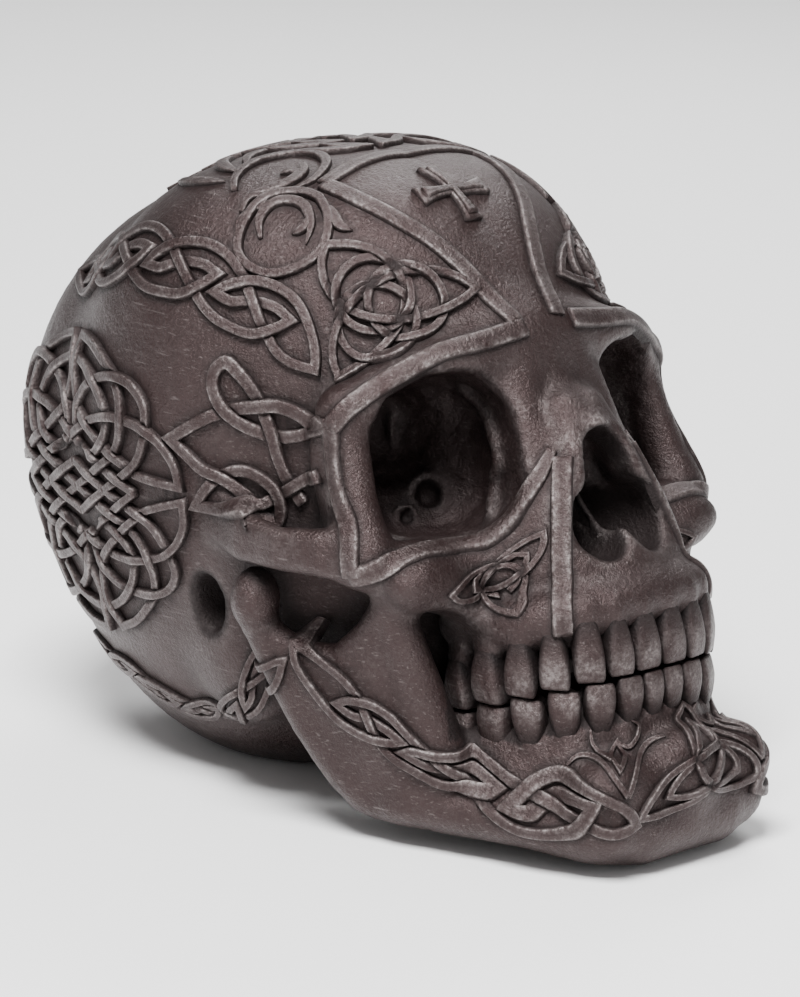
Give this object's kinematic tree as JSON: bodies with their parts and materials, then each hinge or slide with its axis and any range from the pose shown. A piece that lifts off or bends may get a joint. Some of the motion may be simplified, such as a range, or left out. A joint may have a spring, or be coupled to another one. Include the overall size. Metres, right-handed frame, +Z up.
{
  "type": "skull sculpture",
  "caption": "Decorative cast iron skull with its lower jaw, covered in raised interlaced knotwork, standing on a flat underside.",
  "frame": {"origin": "centre of the bounding box at the flat underside the skull stands on", "axes": "+Z up; the face looks along -Y; X runs across the skull, and X = 0 is its plane of symmetry"},
  "size_m": [0.1084, 0.1759, 0.1265],
  "materials": {
    "iron": "dark reddish-brown satin patina with silver-grey brushed high spots"
  },
  "bodies": {
    "root": {"skull": "iron"}
  },
  "joints": []
}
